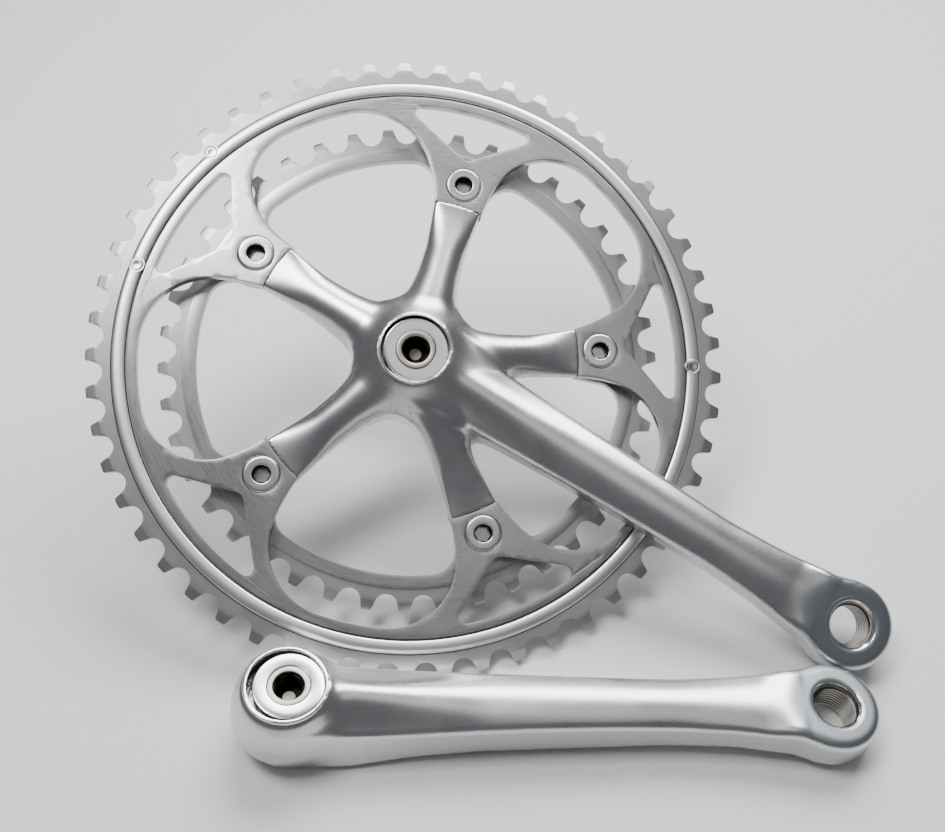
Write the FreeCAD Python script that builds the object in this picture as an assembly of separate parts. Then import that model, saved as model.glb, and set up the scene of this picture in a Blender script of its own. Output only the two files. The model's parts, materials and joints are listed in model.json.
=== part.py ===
# Double crankset for a road bicycle: a right crank with a five-arm spider and two
# chainrings, leaning with its outer face up, and a loose left crank lying in front of it.
# Millimetres. Both cranks are built in the same local frame: the spindle axis is Z with the
# outer side up, X runs along the arm to the pedal, and Z = 0 is the front face of the outer
# chainring's bolt tabs. The shared origin is the middle of the right crank's taper seat.
import FreeCAD
import Part
import math
import os

Vector = FreeCAD.Vector

# --- driving dimensions -----------------------------------------------------------------
crank_length = 170.0
bolt_circle_radius = 65.0
arm_count = 5
chain_pitch = 12.7
roller_radius = 3.97
outer_teeth = 53
inner_teeth = 42
tooth_thickness = 2.4
tab_thickness = 3.5
ring_spacing = 7.4

outer_first_gap = -0.4
inner_first_gap = 5.4

# chainring outlines, as radii from the spindle axis
seam_radius = 57.1
window_radius = 92.5
inner_band_radius = 74.4
inner_tab_half_width = 9.6
inner_tab_fillet = 8.5

# chainring fasteners
flange_radius = 6.15
flange_seat_radius = 6.25
flange_thickness = 1.7
flange_stands_out = 0.5
sleeve_radius = 5.0
sleeve_bore_radius = 4.0
ring_bolt_hex = 5.0

# pins in the outer chainring: radius from the spindle axis and bearing from the arm
shift_pin_places = [(100.0, 167.8), (98.2, 195.2), (98.1, 32.0)]
pin_recess_radius = 3.0
pin_recess_floor = 0.05
pin_stem_radius = 1.25
pin_reach = 4.4
drop_pin_radius = 101.4
drop_pin_thickness = 3.0

# crank hubs, from the rim on the outer side to the inboard face
rim_height = 12.0
rim_radius = 11.9
left_hub_base = -13.5
right_hub_base = -21.5
hub_base_radius = 16.3
taper_seat_top = 0.0
taper_small_side = 12.3
taper_half_angle = 2.0
bolt_chamber_radius = 11.15

# crank bolt and one-key release parts
cap_face = 11.3
cap_clearance = 0.03
cap_hole_radius = 6.62
bolt_head_radius = 6.53
bolt_shank_radius = 4.0
bolt_shank_length = 15.0
bolt_hex = 8.0
bolt_hex_depth = 8.0

# pedal eye
eye_face = 22.8
eye_back = 9.5
eye_radius = 14.9
pedal_bore_radius = 6.55
pedal_chamfer_radius = 8.1

# how the two cranks rest
right_back_lean = 31.07
right_side_lean = 6.8
right_arm_turn = -31.26
left_arm_turn = 1.0
left_hub_at = Vector(-33.2, -107.8, 0)

bolt_angles = [36 + 72 * k for k in range(arm_count)]


# --- small helpers ----------------------------------------------------------------------
def polar(radius, degrees, z=0.0):
    angle = math.radians(degrees)
    return Vector(radius * math.cos(angle), radius * math.sin(angle), z)


def disc(radius, bottom, top, at=Vector(0, 0, 0)):
    return Part.makeCylinder(radius, top - bottom, at + Vector(0, 0, bottom))


def cone(radius_low, radius_high, bottom, top, at=Vector(0, 0, 0)):
    return Part.makeCone(radius_low, radius_high, top - bottom, at + Vector(0, 0, bottom))


def turned(outline):
    """Solid of revolution about Z from (radius, height) corners."""
    corners = [Vector(radius, 0, height) for radius, height in outline]
    face = Part.Face(Part.makePolygon(corners + [corners[0]]))
    return face.revolve(Vector(0, 0, 0), Vector(0, 0, 1), 360)


def prism(edges, bottom, top):
    wire = Part.Wire(Part.__sortEdges__(edges))
    wire.translate(Vector(0, 0, bottom))
    return Part.Face(wire).extrude(Vector(0, 0, top - bottom))


def arc_about(centre, radius, start, end):
    ends = [centre + polar(radius, angle) for angle in (start, (start + end) / 2, end)]
    return Part.Arc(*ends).toShape()


def line(start, end):
    return Part.LineSegment(start, end).toShape()


def turned_about_axis(shape, degrees):
    copy = shape.copy()
    copy.rotate(Vector(0, 0, 0), Vector(0, 0, 1), degrees)
    return copy


def hexagon(across_flats, bottom, top, at=Vector(0, 0, 0)):
    corner = across_flats / math.sqrt(3)
    corners = [at + polar(corner, 60 * k, bottom) for k in range(7)]
    return Part.Face(Part.makePolygon(corners)).extrude(Vector(0, 0, top - bottom))


def upright_edges(solid, places):
    """The edges of a prism that stand over the given places in the XY plane."""
    return [edge for edge in solid.Edges if edge.BoundBox.ZLength > 39
            and any(math.hypot(edge.CenterOfMass.x - place.x,
                               edge.CenterOfMass.y - place.y) < 0.1 for place in places)]


def bearing_of(point, centre):
    return math.degrees(math.atan2(point.y - centre.y, point.x - centre.x))


# --- chainrings -------------------------------------------------------------------------
def tooth_gaps(teeth, bottom, top, first_gap):
    """One roller seat with flared sides, repeated between all the teeth."""
    flare = math.radians(19)
    pitch_radius = chain_pitch / 2 / math.sin(math.pi / teeth)
    seat = Vector(pitch_radius, 0, 0)
    side = Vector(roller_radius * math.sin(flare), roller_radius * math.cos(flare), 0)
    reach = 6.0
    mouth = side.y + (reach - side.x) * math.tan(flare)
    low, high = seat + Vector(side.x, -side.y, 0), seat + side
    out_low, out_high = seat + Vector(reach, -mouth, 0), seat + Vector(reach, mouth, 0)
    root = Part.Arc(low, seat - Vector(roller_radius, 0, 0), high).toShape()
    gap = prism([root, line(high, out_high), line(out_high, out_low), line(out_low, low)],
                bottom, top)
    pitch_angle = 360.0 / teeth
    gaps = [turned_about_axis(gap, first_gap + k * pitch_angle) for k in range(teeth)]
    return Part.makeCompound(gaps)


def tab_side(corner_centre, corner_radius, run_radius, turn_bearing, side):
    """Concave edge of a tab, from the seam circle to the rim of the opening.

    A long arc leaves the seam and runs without a kink into the corner arc, which is
    tangent to the opening's rim."""
    turn = corner_centre + polar(corner_radius, turn_bearing)
    run_centre = turn - polar(run_radius, turn_bearing)
    reach = run_centre.Length
    along = (seam_radius ** 2 - run_radius ** 2 + reach ** 2) / (2 * reach)
    across = math.sqrt(seam_radius ** 2 - along ** 2)
    unit = run_centre / reach
    start = unit * along + Vector(-unit.y, unit.x, 0) * across * -side
    run = arc_about(run_centre, run_radius, bearing_of(start, run_centre), turn_bearing)
    corner = arc_about(corner_centre, corner_radius, turn_bearing,
                       bearing_of(corner_centre, Vector(0, 0, 0)))
    return [run, corner], start, corner_centre.Length + corner_radius


def outer_opening():
    """The five large openings and the hub space, as one star-shaped cutter."""
    left_centre, right_centre = Vector(59.0, 34.9, 0), Vector(62.6, -32.3, 0)
    left, left_start, left_rim = tab_side(left_centre, 23.8, 60.0, -60.0, 1)
    right, right_start, right_rim = tab_side(right_centre, left_rim - right_centre.Length,
                                             40.0, 66.0, -1)
    seam = arc_about(Vector(0, 0, 0), seam_radius, bearing_of(right_start, Vector(0, 0, 0)),
                     bearing_of(left_start, Vector(0, 0, 0)))
    rim = arc_about(Vector(0, 0, 0), left_rim, bearing_of(left_centre, Vector(0, 0, 0)),
                    72 + bearing_of(right_centre, Vector(0, 0, 0)))
    edges = []
    for angle in bolt_angles:
        edges += [turned_about_axis(edge, angle) for edge in left + right + [seam, rim]]
    return prism(edges, -20, 20)


def outer_window():
    """Three-cornered window in a tab, with its outer side on the window circle."""
    apex = Vector(73.55, 1.37, 0)
    left_tip, right_tip = polar(window_radius, 17.5), polar(window_radius, -13.4)
    outer_side = arc_about(Vector(0, 0, 0), window_radius, -13.4, 17.5)
    window = prism([line(apex, right_tip), outer_side, line(left_tip, apex)], -20, 20)
    window = window.makeFillet(4.0, upright_edges(window, [apex]))
    return window.makeFillet(2.6, upright_edges(window, [left_tip, right_tip]))


def on_bolt_circle(radius, bottom, top):
    """Five equal round cutters, one at each chainring bolt."""
    return Part.makeCompound([disc(radius, bottom, top, polar(bolt_circle_radius, angle))
                              for angle in bolt_angles])


def outer_chainring():
    front, back = -0.5, -0.5 - tooth_thickness
    profile = [(50, 0), (93.6, 0), (95.2, 0), (95.6, -0.7), (96.0, 0.1), (96.7, 0.8),
               (97.5, 1.05), (98.3, 0.8), (98.8, 0.3), (100.6, -0.2), (100.6, front),
               (105.6, front), (109.0, -1.35), (109.0, -2.05), (105.6, back),
               (100.6, back), (100.6, -tab_thickness), (50, -tab_thickness)]
    ring = turned(profile)
    ring = ring.cut(tooth_gaps(outer_teeth, -10, 10, outer_first_gap))
    ring = ring.cut(outer_opening())
    window = outer_window()
    windows = [turned_about_axis(window, angle) for angle in bolt_angles]
    ring = ring.cut(Part.makeCompound(windows))
    ring = ring.cut(on_bolt_circle(sleeve_radius + 0.05, -10, 5))
    ring = ring.cut(on_bolt_circle(flange_seat_radius, flange_stands_out - flange_thickness, 5))
    for radius, angle in shift_pin_places:
        place = polar(radius, angle)
        ring = ring.cut(disc(pin_recess_radius, pin_recess_floor, 5, place))
        ring = ring.cut(disc(pin_stem_radius, -10, 5, place))
    return ring.cut(disc(drop_pin_thickness / 2, -10, 5, polar(drop_pin_radius, 0)))


def inner_opening():
    """Hub space and openings of the inner ring, with round corners beside each tab."""
    hole = disc(inner_band_radius, -20, 20)
    half_angle = math.degrees(math.asin(inner_tab_half_width / inner_band_radius))
    corners = []
    for angle in bolt_angles:
        tab = Part.makeBox(40, 2 * inner_tab_half_width, 60,
                           Vector(seam_radius, -inner_tab_half_width, -30))
        hole = hole.cut(turned_about_axis(tab, angle))
        corners += [polar(inner_band_radius, angle + side * half_angle) for side in (-1, 1)]
    return hole.makeFillet(inner_tab_fillet, upright_edges(hole, corners))


def inner_chainring():
    front = -0.5 - ring_spacing
    back = front - tooth_thickness
    tab_front, tab_back = -ring_spacing, -ring_spacing - tab_thickness
    profile = [(50, tab_front), (77.4, tab_front), (79.0, front), (83.4, front),
               (87.1, front - 0.8), (87.1, back + 0.8), (83.4, back), (79.0, back),
               (79.0, tab_back), (50, tab_back)]
    ring = turned(profile)
    ring = ring.cut(tooth_gaps(inner_teeth, -20, 10, inner_first_gap))
    ring = ring.cut(inner_opening())
    ring = ring.cut(on_bolt_circle(sleeve_radius + 0.05, -20, 5))
    seat_bottom = tab_back + flange_thickness - flange_stands_out
    return ring.cut(on_bolt_circle(flange_seat_radius, -20, seat_bottom))


def shift_pin(radius, angle):
    """Rivet through the outer ring: a small head in front and a lifting pin behind."""
    place = polar(radius, angle)
    head = disc(1.75, pin_recess_floor, pin_recess_floor + 0.5, place)
    stem = disc(pin_stem_radius, -pin_reach, pin_recess_floor, place)
    lift = disc(2.4, -pin_reach - 0.6, -pin_reach, place)
    return head.fuse(stem).fuse(lift).removeSplitter()


def chain_drop_pin():
    """Short pin behind the crank arm that keeps a dropped chain out of the gap."""
    return disc(drop_pin_thickness / 2, -2.6, 1.4, polar(drop_pin_radius, 0))


# --- chainring fasteners ------------------------------------------------------------------
def chainring_bolt(angle):
    """Male half: thin flange with a hexagon socket and a short shank."""
    place = polar(bolt_circle_radius, angle)
    bottom = flange_stands_out - flange_thickness
    flange = disc(flange_radius - 0.3, bottom, flange_stands_out, place)
    flange = flange.fuse(disc(flange_radius, bottom, flange_stands_out - 0.35, place))
    shank = disc(sleeve_bore_radius - 0.05, -8.2, bottom, place)
    socket = hexagon(ring_bolt_hex, -3.6, 5, place)
    return flange.fuse(shank).removeSplitter().cut(socket)


def chainring_nut(angle):
    """Female half: a long sleeve with a flange behind the inner chainring."""
    place = polar(bolt_circle_radius, angle)
    back = -ring_spacing - tab_thickness
    flange = disc(flange_radius, back - flange_stands_out,
                  back + flange_thickness - flange_stands_out, place)
    sleeve = disc(sleeve_radius, back, flange_stands_out - flange_thickness - 0.4, place)
    bore = disc(sleeve_bore_radius, back + 1.2, 5, place)
    slot = Part.makeBox(2 * flange_radius, 2.0, 1.0, Vector(-flange_radius, -1.0, 0))
    slot.rotate(Vector(0, 0, 0), Vector(0, 0, 1), angle)
    slot.translate(place + Vector(0, 0, back - flange_stands_out))
    return flange.fuse(sleeve).removeSplitter().cut(bore).cut(slot)


# --- crank arms ---------------------------------------------------------------------------
def bar_section(x, half_width, back, edge, crown):
    """Closed section across the arm: flat back, upright sides and a crowned top."""
    low_left, low_right = Vector(x, half_width, back), Vector(x, -half_width, back)
    left, right = Vector(x, half_width, edge), Vector(x, -half_width, edge)
    top = Part.Arc(left, Vector(x, 0, crown), right).toShape()
    return Part.Wire([line(low_right, low_left), line(low_left, left), top,
                      line(right, low_right)])


def bar(stations):
    return Part.makeLoft([bar_section(*station) for station in stations], True, False)


def pedal_end():
    place = Vector(crank_length, 0, 0)
    bevel = 1.2
    eye = disc(eye_radius, eye_back + bevel, eye_face - bevel, place)
    eye = eye.fuse(cone(eye_radius - bevel, eye_radius, eye_back, eye_back + bevel, place))
    return eye.fuse(cone(eye_radius, eye_radius - bevel, eye_face - bevel, eye_face, place))


def hub(base):
    """Round boss that widens from the rim to its inboard face."""
    return turned([(0, base), (hub_base_radius - 1.5, base), (hub_base_radius, base + 1.5),
                   (hub_base_radius, base + 6), (rim_radius + 1.2, rim_height - 5),
                   (rim_radius, rim_height - 1.2), (rim_radius - 0.4, rim_height),
                   (0, rim_height)])


def square_taper(base):
    """Tapered square hole for the spindle, open at the inboard face."""
    growth = math.tan(math.radians(taper_half_angle)) * 2
    squares = []
    for height in (base - 1, taper_seat_top + 1):
        half = (taper_small_side + growth * (taper_seat_top - height)) / 2
        corners = [Vector(half, half, height), Vector(-half, half, height),
                   Vector(-half, -half, height), Vector(half, -half, height)]
        squares.append(Part.makePolygon(corners + [corners[0]]))
    return Part.makeLoft(squares, True, True)


def hub_cavity(base):
    chamber = disc(bolt_chamber_radius, taper_seat_top, rim_height + 1)
    return chamber.fuse(square_taper(base))


def pedal_bore():
    place = Vector(crank_length, 0, 0)
    depth = pedal_chamfer_radius - pedal_bore_radius
    bore = disc(pedal_bore_radius, eye_back - 1, eye_face + 1, place)
    return bore.fuse(cone(pedal_bore_radius, pedal_chamfer_radius, eye_face - depth,
                          eye_face, place))


def left_crank_arm():
    arm = bar([(0, 12.2, -11.0, 4.0, 9.0), (30, 11.5, -8.9, 5.0, 9.5),
               (60, 10.3, -5.4, 8.7, 12.0), (90, 9.2, -1.4, 12.6, 15.2),
               (120, 8.8, 4.0, 16.2, 18.2), (145, 10.6, 8.2, 19.6, 21.0),
               (crank_length, 14.6, 9.6, 21.4, 22.6)])
    body = hub(left_hub_base).fuse(arm).fuse(pedal_end())
    return body.cut(hub_cavity(left_hub_base)).cut(pedal_bore()).removeSplitter()


def spider_arm(angle):
    """Tapering spider arm whose end drops to a thin tab between the two chainrings."""
    arm = bar([(6, 11.0, -15.0, 3.0, 8.0), (20, 8.6, -12.5, 0.5, 6.2),
               (38, 7.0, -9.0, -3.0, 2.6), (seam_radius, 8.1, -ring_spacing, -1.2, 0.0)])
    beyond_seam = disc(seam_radius + 20, -tab_thickness, 20)
    arm = arm.cut(beyond_seam.cut(disc(seam_radius - 0.05, -tab_thickness, 20)))
    tab = disc(8.2, -ring_spacing, -tab_thickness, Vector(bolt_circle_radius, 0, 0))
    root = Part.makeBox(12, 16.4, ring_spacing - tab_thickness,
                        Vector(seam_radius - 4, -8.2, -ring_spacing))
    hole = disc(sleeve_radius + 0.05, -30, 10, Vector(bolt_circle_radius, 0, 0))
    return turned_about_axis(arm.fuse(tab).fuse(root).cut(hole), angle)


def right_crank_arm():
    arm = bar([(0, 12.2, -10.0, 4.0, 9.0), (30, 11.5, -6.0, 5.4, 9.8),
               (60, 10.6, -1.5, 9.4, 13.0), (90, 9.6, 2.3, 12.9, 15.6),
               (120, 8.8, 5.0, 16.2, 18.2), (145, 10.6, 8.2, 19.6, 21.0),
               (crank_length, 14.6, 9.6, 21.4, 22.6)])
    body = hub(right_hub_base).fuse(arm).fuse(pedal_end())
    for angle in bolt_angles:
        body = body.fuse(spider_arm(angle))
    return body.cut(hub_cavity(right_hub_base)).cut(pedal_bore()).removeSplitter()


# --- crank bolt and one-key release ---------------------------------------------------------
washer_top = 1.2
bolt_flange_bottom = 1.3
bolt_flange_top = 4.3
slip_ring_bottom = 4.4
cap_bottom = 5.4


def release_cap():
    """Chromed cap screwed into the hub, which pushes the crank off its taper."""
    body = disc(bolt_chamber_radius - cap_clearance, cap_bottom, cap_face)
    return body.cut(disc(cap_hole_radius, cap_bottom - 1, cap_face + 1))


def slip_ring():
    return disc(9.8, slip_ring_bottom, cap_bottom).cut(disc(cap_hole_radius, 0, 20))


def bolt_washer():
    return disc(9.8, taper_seat_top, washer_top).cut(disc(bolt_shank_radius + 0.2, -1, 20))


def crank_bolt():
    """Flanged bolt whose head reaches through the cap, with an 8 mm hexagon socket."""
    head = disc(bolt_head_radius, bolt_flange_top, cap_face)
    flange = disc(9.6, bolt_flange_bottom, bolt_flange_top)
    shank = disc(bolt_shank_radius, bolt_flange_bottom - bolt_shank_length,
                 bolt_flange_bottom)
    socket = hexagon(bolt_hex, cap_face - bolt_hex_depth, cap_face + 1)
    pilot = disc(2.05, cap_face - bolt_hex_depth - 1.5, cap_face)
    return head.fuse(flange).fuse(shank).removeSplitter().cut(socket).cut(pilot)


# --- assembly -------------------------------------------------------------------------------
def right_parts():
    parts = {"right_crank_arm": right_crank_arm(), "outer_chainring": outer_chainring(),
             "inner_chainring": inner_chainring(), "right_release_cap": release_cap(),
             "right_slip_ring": slip_ring(), "right_bolt_washer": bolt_washer(),
             "right_crank_bolt": crank_bolt(), "chain_drop_pin": chain_drop_pin()}
    for number, angle in enumerate(bolt_angles, 1):
        parts["chainring_bolt_%d" % number] = chainring_bolt(angle)
        parts["chainring_nut_%d" % number] = chainring_nut(angle)
    for number, (radius, angle) in enumerate(shift_pin_places, 1):
        parts["shift_pin_%d" % number] = shift_pin(radius, angle)
    return parts


def left_parts():
    return {"left_crank_arm": left_crank_arm(), "left_release_cap": release_cap(),
            "left_slip_ring": slip_ring(), "left_bolt_washer": bolt_washer(),
            "left_crank_bolt": crank_bolt()}


def turn(axis, degrees):
    return FreeCAD.Rotation(axis, degrees)


def right_rotation():
    lean = turn(Vector(1, 0, 0), right_back_lean)
    side = turn(Vector(0, 1, 0), right_side_lean)
    return lean.multiply(side).multiply(turn(Vector(0, 0, 1), right_arm_turn))


def left_rotation():
    """The left crank lies on the inboard edge of its hub and on the back of its eye."""
    rise = eye_back - left_hub_base
    run = crank_length + eye_radius - 1.2 - (hub_base_radius - 1.5)
    tilt = math.degrees(math.atan2(rise, run))
    return turn(Vector(0, 0, 1), left_arm_turn).multiply(turn(Vector(0, 1, 0), tilt))


def lowest_point(shapes):
    return min(shape.optimalBoundingBox(True, False).ZMin for shape in shapes)


def placed(parts, rotation, offset):
    placement = FreeCAD.Placement(offset, rotation)
    return {name: shape.transformed(placement.toMatrix()) for name, shape in parts.items()}


def main():
    os.makedirs("parts", exist_ok=True)
    right = placed(right_parts(), right_rotation(), Vector(0, 0, 0))
    floor = lowest_point(right.values())
    left = left_parts()
    lying = placed(left, left_rotation(), Vector(0, 0, 0))
    lift = floor - lowest_point(lying.values())
    left = placed(left, left_rotation(), left_hub_at + Vector(0, 0, lift))
    print("floor", round(floor, 2), "left hub height", round(lift, 2))
    for name, shape in {**right, **left}.items():
        solids = shape.Solids
        print(name, "valid", shape.isValid(), "solids", len(solids),
              "volume", round(shape.Volume, 1))
        solids[0].exportStep("parts/%s.step" % name)


main()
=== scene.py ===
import json
import math

import bmesh
import bpy
import numpy as np
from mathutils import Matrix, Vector


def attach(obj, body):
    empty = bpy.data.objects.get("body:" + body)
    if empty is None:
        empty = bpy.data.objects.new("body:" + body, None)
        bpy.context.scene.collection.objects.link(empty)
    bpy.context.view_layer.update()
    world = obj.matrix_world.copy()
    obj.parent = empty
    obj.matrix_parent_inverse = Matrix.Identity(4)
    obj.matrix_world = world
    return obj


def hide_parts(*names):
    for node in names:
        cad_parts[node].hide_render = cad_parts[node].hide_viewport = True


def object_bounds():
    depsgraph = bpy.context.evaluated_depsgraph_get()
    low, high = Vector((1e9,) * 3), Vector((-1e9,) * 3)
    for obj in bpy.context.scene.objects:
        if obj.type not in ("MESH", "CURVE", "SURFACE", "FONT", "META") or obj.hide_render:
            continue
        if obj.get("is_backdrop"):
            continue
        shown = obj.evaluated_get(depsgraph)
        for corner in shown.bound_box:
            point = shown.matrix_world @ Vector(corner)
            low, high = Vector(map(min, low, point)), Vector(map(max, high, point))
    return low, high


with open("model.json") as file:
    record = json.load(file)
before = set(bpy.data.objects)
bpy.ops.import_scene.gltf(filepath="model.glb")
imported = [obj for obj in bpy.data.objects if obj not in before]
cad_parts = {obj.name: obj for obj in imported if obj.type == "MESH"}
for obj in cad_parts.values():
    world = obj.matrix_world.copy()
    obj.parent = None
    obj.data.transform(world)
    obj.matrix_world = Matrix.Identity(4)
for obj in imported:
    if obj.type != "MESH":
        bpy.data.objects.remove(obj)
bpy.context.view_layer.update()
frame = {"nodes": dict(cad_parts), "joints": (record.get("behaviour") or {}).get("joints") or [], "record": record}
record = frame["record"]
print("frame loaded:", len(frame["nodes"]), "nodes")

# All the shapes below are in millimetres in a crank's own frame: the spindle axis is Z with
# the outer side up, X runs along the arm to the pedal, and Z = 0 is the front of the
# outer chainring's bolt tabs. A crank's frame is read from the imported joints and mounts.


def unit(vector):
    return vector / np.linalg.norm(vector)


def crankFrame(boltJoint, pedalMount):
    # axes: towards the pedal, across, and out along the spindle
    joint = next(j for j in frame["joints"] if j["name"] == boltJoint)
    pedal = next(m for m in record["mounts"] if m["name"] == pedalMount)
    origin, out = np.array(joint["pos_m"]), unit(np.array(joint["axis"]))
    reach = np.array(pedal["pos_m"]) - origin
    along = unit(reach - (reach @ out) * out)
    return origin, np.array([along, np.cross(out, along), out])


rightFrame = crankFrame("right_bolt_turn", "right_pedal_thread")
leftFrame = crankFrame("left_bolt_turn", "left_pedal_thread")


def polar(radius, degrees):
    angle = np.radians(degrees)
    return np.stack([radius * np.cos(angle), radius * np.sin(angle)], -1)


def turnFlat(points, degrees):
    # flat points turned about the spindle axis
    c, s = math.cos(math.radians(degrees)), math.sin(math.radians(degrees))
    return points @ np.array([[c, s], [-s, c]])


def meshPart(points, faces, marks=0, centre=(0.0, 0.0), straight=False):
    # one closed shell: points in a crank's frame, faces as an index array, a mark for all
    # faces or one each that picks the finish, and what the finishes read at each point
    points, faces = np.asarray(points, float), np.asarray(faces, int)
    marks = np.full(len(faces), marks) if np.isscalar(marks) else np.asarray(marks)
    corners = points[faces]
    volume = np.sum(corners[:, 0] * np.cross(corners[:, 1], corners[:, 2]))
    if faces.shape[1] == 4:
        volume += np.sum(corners[:, 0] * np.cross(corners[:, 2], corners[:, 3]))
    if volume < 0:
        faces = faces[:, ::-1]
    # level faces keep their own flat shading beside rounded edges
    lean = np.cross(corners[:, 2] - corners[:, 0], corners[:, -1] - corners[:, 1])
    flat = np.abs(lean[:, 2]) > 0.9995 * np.linalg.norm(lean, axis=1)
    flat &= not straight
    if straight:
        grain, across = straightGrain(points), np.tile([0.0, 1.0, 0.0], (len(points), 1))
    else:
        grain = turnedGrain(points, centre)
        across = np.column_stack([points[:, :2] - centre, np.full(len(points), 1e-3)])
        across /= np.linalg.norm(across, axis=1, keepdims=True)
    return {"points": points, "faces": faces, "marks": marks, "grain": grain,
            "across": across, "flat": flat, "facingShade": np.zeros(len(points))}


def turnedGrain(points, centre=(0.0, 0.0)):
    # streaks that run round an axis: slow round the turn, quick along the radius
    x, y = points[:, 0] - centre[0], points[:, 1] - centre[1]
    radius = np.hypot(x, y) + 1e-9
    return np.stack([x / radius * 2.0, y / radius * 2.0, radius * 1.2 + points[:, 2]], -1)


def straightGrain(points):
    # streaks that run along the arm
    return points * np.array([0.12, 2.0, 2.0])


def gridFaces(rows, columns, closeRows=True, closeColumns=True):
    # quads of a grid of points, wrapped in either direction
    i = np.arange(rows if closeRows else rows - 1)[:, None]
    j = np.arange(columns if closeColumns else columns - 1)[None, :]
    i2, j2 = (i + 1) % rows, (j + 1) % columns
    quads = [i * columns + j, i * columns + j2, i2 * columns + j2, i2 * columns + j]
    return np.stack([np.broadcast_to(q, np.broadcast(i, j).shape) for q in quads],
                    -1).reshape(-1, 4)


def turned(profile, centre=(0.0, 0.0), columns=96, marks=0, sideShape=None):
    # a closed outline of (radius, height) carried round an axis; sideShape(angles) gives a
    # factor on the radius of each column for the rows that the outline marks with a third
    # value of 1, which is how a round head gets a hexagon socket
    profile = np.asarray(profile, float)
    if profile.shape[1] == 2:
        profile = np.column_stack([profile, np.zeros(len(profile))])
    angles = np.linspace(0, 2 * np.pi, columns, endpoint=False)
    factor = np.ones(columns) if sideShape is None else sideShape(angles)
    radius = profile[:, :1] * (1 + profile[:, 2:3] * (factor - 1)[None, :])
    x = radius * np.cos(angles) + centre[0]
    y = radius * np.sin(angles) + centre[1]
    z = np.broadcast_to(profile[:, 1:2], x.shape)
    points = np.stack([x, y, z], -1).reshape(-1, 3)
    faces = gridFaces(len(profile), columns)
    if not np.isscalar(marks):
        marks = np.repeat(np.asarray(marks), columns)
    return meshPart(points, faces, marks, centre)


def hexagon(angles):
    # radius factor of a hexagon whose corners touch the unit circle
    return math.cos(math.pi / 6) / np.cos((angles + np.pi / 6) % (np.pi / 3) - np.pi / 6)


def plate(loops, bottom, top, mark, bevel=0.14, longest=3.0):
    # a flat plate with rounded edges, from an outer outline and the outlines of its holes
    curve = bpy.data.curves.new("outline", "CURVE")
    curve.dimensions, curve.fill_mode = "2D", "BOTH"
    curve.extrude = (top - bottom) / 2 - bevel
    curve.bevel_depth, curve.bevel_resolution, curve.offset = bevel, 2, -bevel
    for loop in loops:
        spline = curve.splines.new("POLY")
        spline.points.add(len(loop) - 1)
        rows = np.column_stack([loop, np.zeros(len(loop)), np.ones(len(loop))])
        spline.points.foreach_set("co", rows.ravel())
        spline.use_cyclic_u = True
    holder = bpy.data.objects.new("outline", curve)
    bpy.context.scene.collection.objects.link(holder)
    bpy.context.view_layer.update()
    evaluated = holder.evaluated_get(bpy.context.evaluated_depsgraph_get())
    mesh = bpy.data.meshes.new_from_object(evaluated)
    work = bmesh.new()
    work.from_mesh(mesh)
    bmesh.ops.remove_doubles(work, verts=work.verts, dist=1e-5)
    bmesh.ops.triangulate(work, faces=work.faces)
    for _ in range(7):
        # the plate is divided until its sides are short, so that the grain follows the turn
        longEdges = [edge for edge in work.edges if edge.calc_length() > longest]
        if longEdges:
            bmesh.ops.subdivide_edges(work, edges=longEdges, cuts=1)
            bmesh.ops.triangulate(work, faces=work.faces)
    bmesh.ops.recalc_face_normals(work, faces=work.faces)
    points = np.array([v.co for v in work.verts]) + [0, 0, (top + bottom) / 2]
    faces = np.array([[v.index for v in f.verts] for f in work.faces])
    work.free()
    bpy.data.objects.remove(holder)
    bpy.data.curves.remove(curve)
    bpy.data.meshes.remove(mesh)
    return meshPart(points, faces, mark)


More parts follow.
